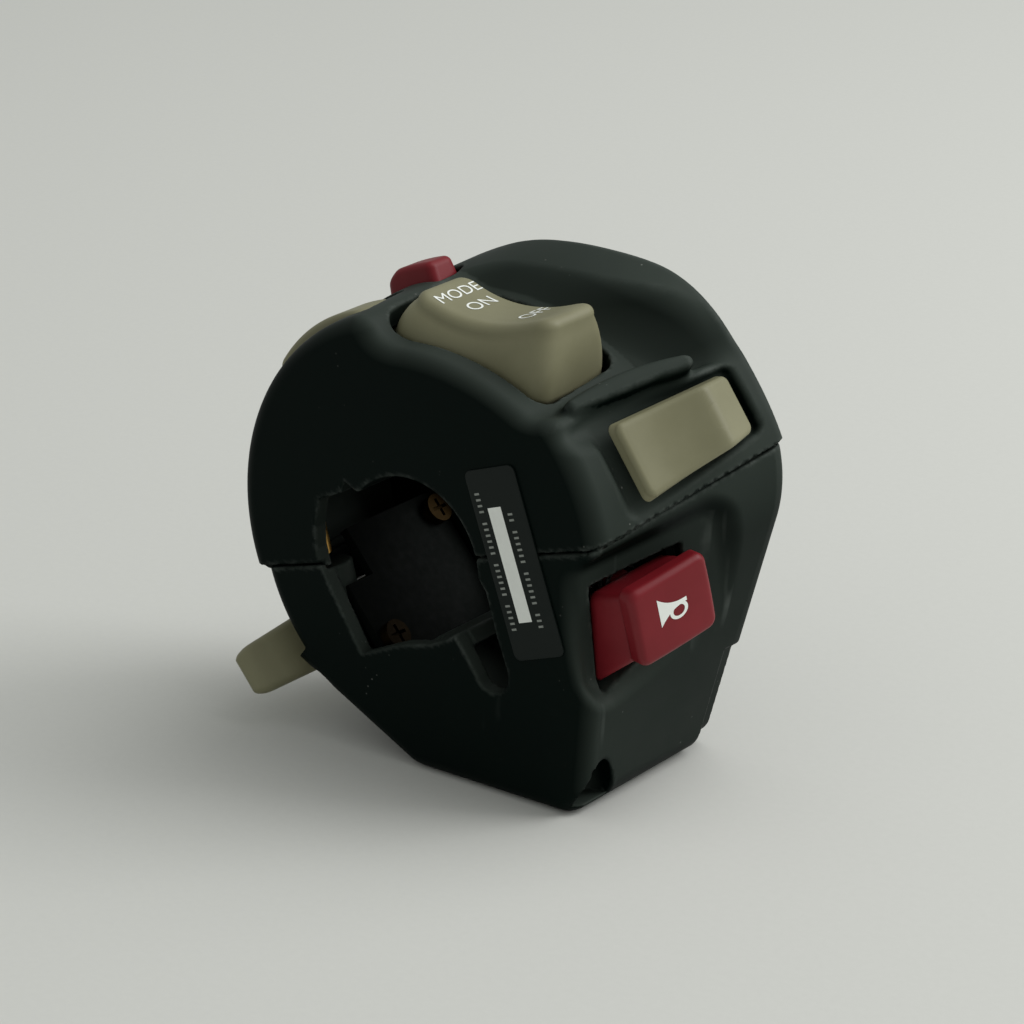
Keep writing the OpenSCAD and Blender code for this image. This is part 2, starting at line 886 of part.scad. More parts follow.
module board_screws() {
  color([0.72, 0.55, 0.25])
    at_angle(trigger_a)
      for (p = board_spots)
        translate([0, p[0], p[1]])
          difference() {
            union() {
              rod_x(2, board_x - 1.5, board_x);
              rod_x(1, board_x - 0.5, board_x + 5.5);
            }
            block([board_x - 2, -1.3, -0.25], [board_x - 0.9, 1.3, 0.25]);
            block([board_x - 2, -0.25, -1.3], [board_x - 0.9, 0.25, 1.3]);
          }
}

module cable_gland() {
  color([0.1, 0.1, 0.1])
    translate([gland_c[0], 0, gland_c[1]])
      difference() {
        union() {
          rod_y(gland_bore_r + 1.5, depth - wall - 1.6, depth + 4);
          rod_y(gland_bore_r + 2.8, depth + 0.05, depth + 1.6);
          rod_y(gland_bore_r + 2.8, depth - wall - 1.6, depth - wall - 0.05);
        }
        rod_y(gland_bore_r, depth - wall - 5, depth + 6);
      }
}

upper_shell();
lower_shell();
casing_screws();
screw_inserts();
label();
mode_rocker();
rocker_pin();
rocker_bracket();
rocker_switches();
turn_key();
turn_carriage();
turn_track();
turn_spring();
turn_switches();
horn_button();
horn_guide_plate();
horn_spring();
horn_switch();
flasher_trigger();
trigger_pin();
trigger_spring();
trigger_switch();
info_rocker();
info_pin();
info_bracket();
info_switches();
hazard_button();
hazard_guide_plate();
hazard_spring();
hazard_switch();
circuit_board();
board_screws();
cable_gland();
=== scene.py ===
"""Looks of the handlebar switch cluster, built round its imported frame.

The two casing halves are zero surfaces of a distance field. The caps, the trigger, the label and the
marks are grids of two parameters. Lengths are millimetres until a mesh is written, in metres.
"""
import math

import bmesh
import bpy
import numpy as np
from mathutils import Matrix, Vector

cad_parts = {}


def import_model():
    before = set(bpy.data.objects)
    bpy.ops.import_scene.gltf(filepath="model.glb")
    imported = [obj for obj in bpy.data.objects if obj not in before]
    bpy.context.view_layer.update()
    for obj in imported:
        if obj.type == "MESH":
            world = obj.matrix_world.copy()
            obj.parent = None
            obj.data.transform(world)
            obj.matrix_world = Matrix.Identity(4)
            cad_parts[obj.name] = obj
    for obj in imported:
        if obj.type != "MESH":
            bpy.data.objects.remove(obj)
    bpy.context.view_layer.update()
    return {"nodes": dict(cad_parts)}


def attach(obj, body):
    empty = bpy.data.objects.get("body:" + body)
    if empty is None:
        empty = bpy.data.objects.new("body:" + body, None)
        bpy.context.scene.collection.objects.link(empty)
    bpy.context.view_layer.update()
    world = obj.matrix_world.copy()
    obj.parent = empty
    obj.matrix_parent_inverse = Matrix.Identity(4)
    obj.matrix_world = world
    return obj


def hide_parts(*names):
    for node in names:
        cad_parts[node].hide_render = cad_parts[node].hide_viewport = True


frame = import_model()

MM = 0.001

# Casing
DEPTH = 30.0
WALL = 2.4
THIN_WALL = 1.5
BAR_R = 11.2
SADDLE_R = 13.6
SADDLE_LAP = 1
GRIP_C = (1.0, 3.2)
GRIP_R = 29.4
DOME_C = (6.2, 2.4)
DOME_R = 35.0
GRIP_RIM = 2.1
DOME_RIM = 1.5
FOOT = -29.0
CELL = 0.42
UPPER_BOX = ((-29.5, -0.9, -10.5), (40.5, 31, 39))
LOWER_BOX = ((-29, -0.9, -30), (40.5, 31, 18))

# Rounding of cut edges
INNER_EDGE = 0.3
WINDOW_EDGE = 0.4
BORE_EDGE = 0.5

# Factors that bring the slope of a leaning or stretched distance back to about one
SIDE_SCALE = 0.97
STEP_SCALE = 0.97
CAP_SCALE = 0.88
FIN_SCALE = 0.8
HOLLOW_SCALE = 2.6

# Parting plane, the seam's climb on the rider side, and the tongue inside the seam
SPLIT_TILT = 15.5
SEAM_RISE = 5.7
SEAM_FROM = 17
SEAM_RAMP = 4
SEAM_REACH = 1.1
SEAM_GAP = 0.4
SEAM_EDGE = 0.2
TONGUE = 0.8
TONGUE_DEPTH = 0.9
TONGUE_RAMP = 0.4
UPPER_SADDLE = (SPLIT_TILT + 1, 139)
LOWER_SADDLE = (-80, -48)

# Swells of the upper outline at the dome, as height, angle in radians and spread
SWELLS = ((1.5, 1.09, 0.28), (-0.8, 2.04, 0.35))

# Lower outline: front arc, heel, toe and the rider side at both ends, as X, Z, radius
FRONT_ARC = (1.5, 1.0, 27.3)
HEEL = (1.5, -24.0, 5.0)
TOE = (23.8, -24.4, 4.6)
SIDE_GRIP = (10.0, 2.0, 20.4)
SIDE_DOME = (19.5, 11.0, 18.6)
SIDE_FROM = 2.3
SIDE_RUN = 25.4

# Step round the foot of the dome side
NOTCH_Y = 26.2
NOTCH_TOP = -13.0
NOTCH_DEPTH = 1.2

# Deck under the mode rocker, block of the dome behind it, and top of the dome
DECK_C = (0.5, -7.65)
DECK_R = 35.9
DECK_FROM = 2.5
DECK_SLOPE = 0.14
DECK_FRONT = 14.2
DECK_FRONT_FILLET = 7.0
DECK_EDGE = 2.0
VALLEY_Y = 20.5
VALLEY_RISE = 0.5
STEP_Y = 21.6
STEP_LEAN = 0.25
STEP_CORNER = (19.8, 21.9)
STEP_FILLET = 3.0
FLANK = (0.5, 0.866)
FLANK_LEAN = 0.3
BLOCK_EDGE = 5.0
CAP_Y = 20.5
CAP_Z = 33.0
CAP_SLOPE = 0.54
CAP_EDGE = 2.2

# Fin: half thickness at its ends and belly, place of the belly, lean along it, and its block
FIN_THIN = 0.9
FIN_BELLY = 1.1
FIN_MIDDLE = 13.6
FIN_HALF_LENGTH = 9.4
FIN_HALF = 1.5
FIN_LEAN = 0.04
FIN_LEVEL_Y = 20
FIN_BLOCK = ((-5, 4.2, -FIN_HALF), (1.9, 23.2, FIN_HALF), 1.3)
FIN_FILLET = 0.9
FIN_SIDE = -0.2
FIN_SIDE_FILLET = 2.6
HOLLOW_C = (1.3, 12.4, -3.6)
HOLLOW_HALF = (2.9, 10.4, 3.0)
HOLLOW_SIDE = -1.0
HOLLOW_EDGE = 0.9

# Turn signal key and the dish round it
KEY_Y = 16.9
KEY_TAPER = 0.0142
KEY_FLOOR = 0.95
KEY_FLOOR_FALL = 0.07
KEY_FLOOR_Y = 4
KEY_WINDOW = ((-5, KEY_Y - 7.4, -3.9), (20, KEY_Y + 7.4, 3.9), 0.8)
DISH_DEPTH = 1.8
DISH = ((0, KEY_Y - 11.1, -5.3), (20, KEY_Y + 11.1, 5.3), 1.0)
DISH_EDGE = 1.1

# Windows in the casing: two corners of a local frame and the rounding of the corners
ROCKER_WINDOW = ((20, 4.1, -13.2), (60, 19.4, 13.4), 2.6)
INFO_WINDOW = ((26.5, 4, -10.4), (60, 13, 10.4), 0.8)
HAZARD_WINDOW = ((28.5, 16.0, -4.4), (60, 22.4, 5.6), 0.8)
TRIGGER_WINDOW = ((-3.0, -15, -4.26), (3.0, 4, 4.26), 0.5)
TRIGGER_WINDOW_EDGE = 0.12

# Horn button's scoop and window, and the foot of its skirt, as corners across the button
SCOOP_RIM = ((-9, -11.4, -11.2), (9, 13.6, 8.2), 4.0)
SCOOP_FLOOR = -4.2
SCOOP_FROM = -10
SCOOP_RUN = 0.13
SCOOP_FILLET = 2.4
SCOOP_EDGE = 2.0
SCOOP_WALL = 2.2
HORN_FOOT = [(-8.4, -10.4), (6.0, -6.8), (5.8, 2.0), (-6.6, 2.2)]
HORN_WINDOW = [(-8.4, -10.4), (6.3, -6.8), (6.3, 3.6), (-6.6, 3.6)]
HORN_CLEAR = 0.4
HORN_WINDOW_DEPTH = 9

# Pocket beside the bar and the long slot, as corners in X and Z, and the slot's round end
APERTURE = [(-8.4, 7.4), (-10.5, 8.4), (-11.1, 6.8), (-15, 4.9), (-15.6, 1), (-15.5, -2), (-14.9, -4.2),
            (-8.1, -15.1), (-1.5, -12.1), (3.5, -10.7), (0, 0)]
SLOT = [(0, 0), (11.2, 0.4), (12.5, -1.2), (14.4, -7.3), (16, -11.4), (11.2, -13.4), (8.4, -9.5)]
SLOT_END = (13.5, -12.3, 2.6)
OPENING_CLEAR = 0.2

# Casing screws, as place along the parting plane, Y, seat of the head and radius of its well
SCREWS = ((18.65, 3.6, -20.5, 3.0), (-20.0, 3.6, -9.8, 2.95))
WELL_WALL = 2.2
WELL_FLOOR = -27.4
GLAND = (12.0, -20.0, 4.2)
GLAND_FROM = 20


# Frames and distances
def rot(axis, degrees):
    """Turn about one axis, as a 3 by 3 matrix."""
    c, s = math.cos(math.radians(degrees)), math.sin(math.radians(degrees))
    i, j = {"x": (1, 2), "y": (2, 0), "z": (0, 1)}[axis]
    m = np.eye(3)
    m[i, i] = m[j, j] = c
    m[i, j], m[j, i] = -s, s
    return m


def place(*moves):
    """Local frame from turns and shifts applied in order: its axes as columns, and its origin."""
    axes, origin = np.eye(3), np.zeros(3)
    for move in moves:
        move = np.asarray(move, float)
        if move.ndim == 1:
            origin = origin + axes @ move
        else:
            axes = axes @ move
    return axes, origin


def at_angle(degrees):
    """Turn that points the local x axis out from the bar at an angle."""
    return rot("y", -degrees)


ROCKER = place(at_angle(78))
FIN = place(at_angle(48.5), (31, 0, 0), rot("z", -21), rot("x", -9))
KEY = place(at_angle(30), (31, 0, 0), rot("z", -21), rot("x", 4.6))
HORN = place((32.6, 9.2, 0), rot("z", -15), rot("x", 14))
TRIGGER = place(at_angle(-140.3), (22, 18.6, 0.4), rot("z", 27.3))
INFO = place(at_angle(127))
HAZARD = place(at_angle(111.5))
LABEL_LEAN = math.radians(19.3)
LABEL = (np.array([[0, math.cos(LABEL_LEAN), -math.sin(LABEL_LEAN)],
                   [-1, 0, 0],
                   [0, math.sin(LABEL_LEAN), math.cos(LABEL_LEAN)]]),
         np.array([17.35, 0.0, 3.9]))


def local(where, x, y, z):
    """Coordinates of points in a local frame."""
    axes, origin = where
    x, y, z = x - origin[0], y - origin[1], z - origin[2]
    return [x * axes[0, k] + y * axes[1, k] + z * axes[2, k] for k in range(3)]


def world(where, points):
    """Points of a local frame in the shared frame."""
    axes, origin = where
    return points @ axes.T + origin


def smooth(t):
    """Rise from 0 to 1 with level ends."""
    t = np.clip(t, 0, 1)
    return t * t * (3 - 2 * t)


def both(a, b, r):
    """Distance to what two solids share, with their common edge rounded to radius r."""
    return np.minimum(np.maximum(a, b), -r) + np.hypot(np.maximum(a + r, 0), np.maximum(b + r, 0))


def carve(solid, tool, r):
    """Solid less a tool, with the edge rounded."""
    return both(solid, -tool, r)


def join(a, b, r):
    """Two solids as one, with a fillet where they meet."""
    return -both(-a, -b, r)


def block(p, low, high, r):
    """Distance to a box with rounded edges, between two corners of a local frame."""
    q = [np.abs(p[k] - (low[k] + high[k]) / 2) - (high[k] - low[k]) / 2 + r for k in range(3)]
    far = np.sqrt(sum(np.maximum(c, 0) ** 2 for c in q))
    return far + np.minimum(np.maximum(np.maximum(q[0], q[1]), q[2]), 0) - r


def plate(a, b, corners):
    """Distance to a polygon in the plane: nearest edge, with its sign from crossings."""
    near, inside = np.inf, False
    for (a0, b0), (a1, b1) in zip(corners, corners[1:] + corners[:1]):
        da, db = a1 - a0, b1 - b0
        t = np.clip(((a - a0) * da + (b - b0) * db) / (da * da + db * db), 0, 1)
        near = np.minimum(near, np.hypot(a - a0 - t * da, b - b0 - t * db))
        way = np.sign(db)
        crosses = ((b0 <= b) != (b1 <= b)) & ((a - a0) * db * way < (b - b0) * da * way)
        inside = inside ^ crosses
    return np.where(inside, -near, near)


def ring_sector(x, y, z, a0, a1, r0, r1):
    """Distance to part of a ring round the bar between two angles."""
    r = np.hypot(x, z)
    s0, c0 = math.sin(math.radians(a0)), math.cos(math.radians(a0))
    s1, c1 = math.sin(math.radians(a1)), math.cos(math.radians(a1))
    flank = np.maximum(x * s0 - z * c0, z * c1 - x * s1)
    ends = np.maximum(WALL / 2 - y, y - DEPTH + WALL / 2)
    return np.maximum(np.maximum(np.maximum(r - r1, r0 - r), flank), ends)


def split(x, z):
    """Coordinates along and above the parting plane."""
    s, c = math.sin(math.radians(SPLIT_TILT)), math.cos(math.radians(SPLIT_TILT))
    return x * c + z * s, z * c - x * s


def above_seam(x, y, z):
    """Height above the seam, which climbs along the rider side."""
    u, v = split(x, z)
    return v - SEAM_RISE * np.clip(y / DEPTH, 0, SEAM_REACH) * smooth((u - SEAM_FROM) / SEAM_RAMP)


def lap(side, y):
    """Step of the seam inside the wall, where the upper half has a tongue that closes the view through."""
    depth = np.minimum(-side, np.minimum(y, DEPTH - y))
    return TONGUE * smooth((depth - TONGUE_DEPTH) / TONGUE_RAMP)


# Casing halves
def key_floor(y):
    """Underside of the key, just above the casing along it."""
    return KEY_FLOOR - KEY_FLOOR_FALL * (y - KEY_FLOOR_Y)


def key_width(y):
    """Share of the key's full width along it, less towards the dome."""
    return 1 - KEY_TAPER * (y - KEY_Y)


def end_opening(x, y, z):
    """Pocket beside the bar in the grip-side wall, with the long slot."""
    flat = np.minimum(plate(x, z, APERTURE), plate(x, z, SLOT))
    flat = np.minimum(flat, np.hypot(x - SLOT_END[0], z - SLOT_END[1]) - SLOT_END[2])
    return np.maximum(flat, y - WALL - OPENING_CLEAR)


def deck_room(x, y, z):
    """Room above the deck: a sloped arc up to the block of the dome.

    The block has a soft corner towards the fin, and a valley rises in front of it.
    """
    rise = np.hypot(x - DECK_C[0], z - DECK_C[1]) - DECK_R - DECK_SLOPE * (y - DECK_FROM)
    rise = rise - VALLEY_RISE * np.maximum(y - VALLEY_Y, 0)
    step = (STEP_Y + STEP_LEAN * rise - y) * STEP_SCALE
    flank = FLANK[0] * (x - STEP_CORNER[0]) - FLANK[1] * (y - STEP_CORNER[1]) + FLANK_LEAN * rise
    room = both(-rise, -both(step, flank, BLOCK_EDGE), STEP_FILLET)
    front = local(ROCKER, x, y, z)[2] - DECK_FRONT
    beside_fin = FIN_SIDE - local(FIN, x, y, z)[2]
    return both(both(room, front, DECK_FRONT_FILLET), beside_fin, FIN_SIDE_FILLET)


def upper_side(x, y, z):
    """Side of the upper half: circles lofted along the bar, fuller at the shoulder of the dome."""
    t = y / DEPTH
    dx = x - GRIP_C[0] - (DOME_C[0] - GRIP_C[0]) * t
    dz = z - GRIP_C[1] - (DOME_C[1] - GRIP_C[1]) * t
    a = np.arctan2(dz, dx)
    swell = sum(height * np.exp(-((a - angle) / spread) ** 2) for height, angle, spread in SWELLS)
    growth = (DOME_R - GRIP_R) * t
    return (np.hypot(dx, dz) - GRIP_R - growth - swell * np.clip(t, 0, 1) ** 2) * SIDE_SCALE


def fin(p):
    """Thumb fence: a leaf-shaped blade with round edges, a little lower beside the grip."""
    half = FIN_THIN + FIN_BELLY * np.clip(1 - ((p[1] - FIN_MIDDLE) / FIN_HALF_LENGTH) ** 2, 0, 1)
    lean = [p[0] - FIN_LEAN * (p[1] - FIN_LEVEL_Y), p[1], p[2] * FIN_HALF / half]
    return block(lean, *FIN_BLOCK) * FIN_SCALE


def fin_hollow(p):
    """Hollow between the fin and the key: an ellipsoid cut off beside the fin."""
    reach = [(p[k] - HOLLOW_C[k]) / HOLLOW_HALF[k] for k in range(3)]
    return np.maximum((np.sqrt(sum(c * c for c in reach)) - 1) * HOLLOW_SCALE, p[2] - HOLLOW_SIDE)


def upper_half(x, y, z):
    """Distance to the upper casing half."""
    side = upper_side(x, y, z)
    room_above = deck_room(x, y, z)
    top = (z - CAP_Z - CAP_SLOPE * np.maximum(y - CAP_Y, 0)) * CAP_SCALE
    solid = both(carve(side, room_above, DECK_EDGE), top, CAP_EDGE)
    solid = both(both(solid, -y, GRIP_RIM), y - DEPTH, DOME_RIM)
    hollow = np.maximum(np.maximum(side, top), np.maximum(-y, y - DEPTH)) + WALL
    beside_key = local(FIN, x, y, z)
    p = local(KEY, x, y, z)
    taper = [p[0], p[1], p[2] / key_width(p[1])]
    dish = block([p[0] - key_floor(p[1]) + DISH_DEPTH, p[1], taper[2]], *DISH)
    under_fin = fin_hollow(beside_key)
    hollow = np.maximum(hollow, np.maximum(WALL - room_above, THIN_WALL - np.minimum(dish, under_fin)))
    solid = carve(solid, hollow, INNER_EDGE)
    solid = np.minimum(solid, ring_sector(x, y, z, *UPPER_SADDLE, BAR_R - SADDLE_LAP, SADDLE_R))
    solid = join(solid, fin(beside_key), FIN_FILLET)
    solid = carve(solid, np.hypot(x, z) - BAR_R, BORE_EDGE)
    solid = carve(solid, end_opening(x, y, z), INNER_EDGE)
    solid = carve(solid, block(local(ROCKER, x, y, z), *ROCKER_WINDOW), WINDOW_EDGE)
    solid = carve(solid, block(taper, *KEY_WINDOW), WINDOW_EDGE)
    solid = carve(carve(solid, dish, DISH_EDGE), under_fin, HOLLOW_EDGE)
    solid = carve(solid, block(local(INFO, x, y, z), *INFO_WINDOW), WINDOW_EDGE)
    solid = carve(solid, block(local(HAZARD, x, y, z), *HAZARD_WINDOW), WINDOW_EDGE)
    return both(solid, SEAM_GAP / 2 - lap(side, y) - above_seam(x, y, z), SEAM_EDGE)


def lower_side(x, y, z):
    """Side of the lower half: hull of four discs, one of which moves along the bar.

    Each disc counts in its own sector, and each tangent between two discs as a plane.
    """
    t = np.clip((y - SIDE_FROM) / SIDE_RUN, 0, 1)
    moving = [a + (b - a) * t for a, b in zip(SIDE_GRIP, SIDE_DOME)]
    discs = [FRONT_ARC, HEEL, TOE, moving]
    normals = []
    for (x0, z0, r0), (x1, z1, r1) in zip(discs, discs[1:] + discs[:1]):
        length = np.hypot(x1 - x0, z1 - z0)
        ex, ez = (x1 - x0) / length, (z1 - z0) / length
        lean = (r0 - r1) / length
        out = np.sqrt(1 - lean ** 2)
        normals.append((ex * lean + ez * out, ez * lean - ex * out))
    far = -np.inf
    for k, (cx, cz, r) in enumerate(discs):
        n0, n1 = normals[k - 1], normals[k]
        dx, dz = x - cx, z - cz
        far = np.maximum(far, dx * n1[0] + dz * n1[1] - r)
        own = (n0[0] * dz - n0[1] * dx >= 0) & (dx * n1[1] - dz * n1[0] >= 0)
        far = np.maximum(far, np.where(own, np.hypot(dx, dz) - r, -np.inf))
    return far


def scoop(p):
    """Recess round the horn button: deep beside the grip, running out towards the dome."""
    rim = block([p[0] * 0, p[1], p[2]], *SCOOP_RIM)
    floor = SCOOP_FLOOR + SCOOP_RUN * (p[1] - SCOOP_FROM) - p[0]
    return both(rim, floor, SCOOP_FILLET)


def lower_half(x, y, z):
    """Distance to the lower casing half."""
    side = lower_side(x, y, z)
    p = local(HORN, x, y, z)
    recess = scoop(p)
    solid = both(both(side, -y, GRIP_RIM), y - DEPTH, DOME_RIM)
    notch = np.maximum(np.maximum(NOTCH_Y - y, z - NOTCH_TOP), -NOTCH_DEPTH - side)
    solid = carve(carve(solid, notch, WINDOW_EDGE), recess, SCOOP_EDGE)
    hollow = np.maximum(side, np.maximum(-y, y - DEPTH)) + WALL
    hollow = np.maximum(hollow, SCOOP_WALL - recess)
    u, v = split(x, z)
    wells = []
    for along, across, seat, room in SCREWS:
        off_axis = np.hypot(u - along, y - across)
        hollow = np.maximum(hollow, room + WELL_WALL - off_axis)
        wells.append(np.maximum(np.maximum(off_axis - room, v - seat), WELL_FLOOR - z))
    solid = carve(solid, hollow, INNER_EDGE)
    solid = np.minimum(solid, ring_sector(x, y, z, *LOWER_SADDLE, BAR_R - SADDLE_LAP, SADDLE_R))
    solid = carve(solid, np.hypot(x, z) - BAR_R, BORE_EDGE)
    solid = carve(solid, end_opening(x, y, z), INNER_EDGE)
    button = plate(p[1], p[2], HORN_WINDOW) - HORN_CLEAR
    solid = carve(solid, np.maximum(button, np.maximum(-HORN_WINDOW_DEPTH - p[0], p[0])), INNER_EDGE)
    solid = carve(solid, block(local(TRIGGER, x, y, z), *TRIGGER_WINDOW), TRIGGER_WINDOW_EDGE)
    for well in wells:
        solid = carve(solid, well, BORE_EDGE)
    inlet = np.maximum(np.hypot(x - GLAND[0], z - GLAND[1]) - GLAND[2], GLAND_FROM - y)
    solid = carve(solid, inlet, INNER_EDGE)
    return both(solid, SEAM_GAP / 2 + lap(side, y) + above_seam(x, y, z), SEAM_EDGE)


# Zero surfaces
SETTLE_ROUNDS = 3
SETTLE_STEP = 0.04
LEAST_SLOPE = 0.25
LONGEST_HOP = 0.3


def slope_of(field, p, step):
    """Gradient of a field at points, by differences."""
    out = np.empty_like(p)
    for k in range(3):
        hop = np.zeros(3)
        hop[k] = step
        out[:, k] = (field(*(p + hop).T) - field(*(p - hop).T)) / (2 * step)
    return out


def zero_surface(field, low, high, cell):
    """Closed surface where a field is zero, for a form with windows and recesses that no one grid carries.

    One point stands in every cell that the surface crosses, at the mean of the crossings on its edges.
    Four such points make a face round each crossed edge. Each point then goes down the slope to zero.
    """
    axes = [np.arange(a, b + cell, cell) for a, b in zip(low, high)]
    value = field(axes[0][:, None, None], axes[1][None, :, None], axes[2][None, None, :])
    full = value < 0
    size = np.array(value.shape) - 1
    corner = [np.array((i, j, k)) for i in (0, 1) for j in (0, 1) for k in (0, 1)]
    count = sum(full[i:size[0] + i, j:size[1] + j, k:size[2] + k].astype(np.int8) for i, j, k in corner)
    cells = np.argwhere((count > 0) & (count < len(corner)))
    number = np.full(size, -1)
    number[tuple(cells.T)] = np.arange(len(cells))
    total, hits = np.zeros((len(cells), 3)), np.zeros(len(cells))
    quads = []
    for axis in range(3):
        unit = np.eye(3, dtype=int)[axis]
        for start in corner:
            if start[axis]:
                continue
            a = value[tuple((cells + start).T)]
            b = value[tuple((cells + start + unit).T)]
            crossed = (a < 0) != (b < 0)
            t = np.where(crossed, a / np.where(crossed, a - b, 1), 0)
            total += np.where(crossed[:, None], start + t[:, None] * unit, 0)
            hits += crossed
        one, two = np.eye(3, dtype=int)[[(axis + 1) % 3, (axis + 2) % 3]]
        ends = tuple(slice(1, None) if k == axis else slice(None) for k in range(3))
        starts = tuple(slice(None, -1) if k == axis else slice(None) for k in range(3))
        edges = np.argwhere(full[starts] != full[ends])
        loop = np.stack([number[tuple((edges - one - two).T)], number[tuple((edges - two).T)],
                         number[tuple(edges.T)], number[tuple((edges - one).T)]], axis=1)
        inward = ~full[tuple(edges.T)]
        loop[inward] = loop[inward][:, ::-1]
        quads.append(loop)
    points = np.array(low) + (cells + total / hits[:, None]) * cell
    for _ in range(SETTLE_ROUNDS):
        slope = slope_of(field, points, SETTLE_STEP)
        drop = field(*points.T) / np.maximum((slope ** 2).sum(1), LEAST_SLOPE)
        points -= np.clip(drop, -LONGEST_HOP, LONGEST_HOP)[:, None] * slope
    return points, np.concatenate(quads)


# Grids
SIDE_RINGS = 9
EDGE_RINGS = 8
TOP_RINGS = 12
CORNER_POINTS = 7
LEAST_CORNER = 0.06
MIDDLE_SHARE = 0.03


def loop_of(low, high, r, along, across, turn):
    """Rounded rectangle as a loop of points: four straights and four quarter arcs."""
    (a0, b0), (a1, b1) = low, high
    quarter = np.arange(turn) / turn * math.pi / 2
    out = []
    for k, (ca, cb, ta, tb, n) in enumerate(((a1 - r, b0 + r, a0 + r, b0 + r, along),
                                             (a1 - r, b1 - r, a1 - r, b0 + r, across),
                                             (a0 + r, b1 - r, a1 - r, b1 - r, along),
                                             (a0 + r, b0 + r, a0 + r, b1 - r, across))):
        way = np.array([math.cos((k - 1) * math.pi / 2), math.sin((k - 1) * math.pi / 2)])
        t = (np.arange(n) / n)[:, None]
        out.append(np.array([ta, tb]) * (1 - t) + np.array([ca, cb]) * t + r * way)
        arc = quarter + (k - 1) * math.pi / 2
        out.append(np.stack([ca + r * np.cos(arc), cb + r * np.sin(arc)], axis=1))
    return np.concatenate(out)


def closed(rings):
    """Faces of a grid of loops, with both ends closed by a fan to their middle."""
    rows, n = rings.shape[:2]
    k = np.arange(n)
    k1 = (k + 1) % n
    row = np.arange(rows - 1)[:, None] * n
    quads = np.stack([row + k, row + k1, row + n + k1, row + n + k], axis=-1).reshape(-1, 4)
    last = (rows - 1) * n
    fans = np.concatenate([np.stack([k1, k, k * 0 + rows * n], axis=1),
                           np.stack([last + k, last + k1, k * 0 + rows * n + 1], axis=1)])
    points = np.concatenate([rings.reshape(-1, 3), [rings[0].mean(0)], [rings[-1].mean(0)]])
    return points, quads.tolist() + fans.tolist()


def cap(foot, crown, base, top, edge, corner=(1.0, 1.0), along=14, across=22, bow=1.0):
    """Button cap: sides drafted from the foot's rectangle to the crown's, a round edge, then the top.

    A ring's height is a share of the way from the base to the top's own height over its points. The draft
    grows with that share to the power bow. The base is a number, or a function along the cap.
    """
    foot, crown = np.array(foot, float), np.array(crown, float)
    floor_at = base if callable(base) else lambda y: y * 0 + base
    rings = []

    def ring(low, high, r, height):
        yz = loop_of(low, high, r, along, across, CORNER_POINTS)
        rings.append(np.column_stack([height(top(yz[:, 0], yz[:, 1]), floor_at(yz[:, 0])), yz]))

    for f in np.linspace(0, 1, SIDE_RINGS):
        low, high = foot + (crown - foot) * f ** bow
        ring(low, high, corner[0] + (corner[1] - corner[0]) * f, lambda h, b: b + (h - edge - b) * f)
    for q in np.linspace(0, math.pi / 2, EDGE_RINGS)[1:]:
        inset = edge * (1 - math.cos(q))
        ring(crown[0] + inset, crown[1] - inset, max(corner[1] - inset, LEAST_CORNER),
             lambda h, b: h - edge + edge * math.sin(q))
    low, high = crown[0] + edge, crown[1] - edge
    for f in np.linspace(1, MIDDLE_SHARE, TOP_RINGS)[1:]:
        mid, half = (low + high) / 2, (high - low) / 2 * f
        ring(mid - half, mid + half, max(corner[1] - edge, LEAST_CORNER) * f, lambda h, b: h)
    return closed(np.array(rings))


def brick(low, high, edge=0.3):
    """Plain block with round edges, as a cap with straight sides."""
    return cap((low[1:], high[1:]), (low[1:], high[1:]), low[0], lambda y, z: y * 0 + high[0], edge,
               (edge, edge), 2, 2)


def merged(*parts):
    """Several closed grids as one."""
    points, faces, start = [], [], 0
    for p, f in parts:
        points.append(p)
        faces += [[k + start for k in face] for face in f]
        start += len(p)
    return np.concatenate(points), faces


def outward(points, faces):
    """Faces turned so that their signed volume is positive."""
    tri = np.array([f[:3] for f in faces] + [[f[0], f[2], f[3]] for f in faces if len(f) == 4])
    a, b, c = points[tri[:, 0]], points[tri[:, 1]], points[tri[:, 2]]
    if (np.cross(a, b) * c).sum() < 0:
        return [f[::-1] for f in faces]
    return faces


def put_mesh(name, points, faces, body, slot, material, nodes=()):
    """New piece from points in millimetres, riding on a body."""
    mesh = bpy.data.meshes.new(name)
    mesh.from_pydata((points * MM).tolist(), [], faces)
    mesh.polygons.foreach_set("use_smooth", np.ones(len(mesh.polygons), bool))
    mesh.update()
    piece = bpy.data.objects.new(name, mesh)
    bpy.context.scene.collection.objects.link(piece)
    mesh.materials.append(material)
    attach(piece, body)
    if nodes:
        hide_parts(*nodes)
    return piece


def put_grids(name, where, parts, body, slot, material, nodes=()):
    """New piece from closed grids of a local frame, with its faces turned outwards."""
    points, faces = merged(*parts)
    return put_mesh(name, world(where, points), outward(points, faces), body, slot, material, nodes)


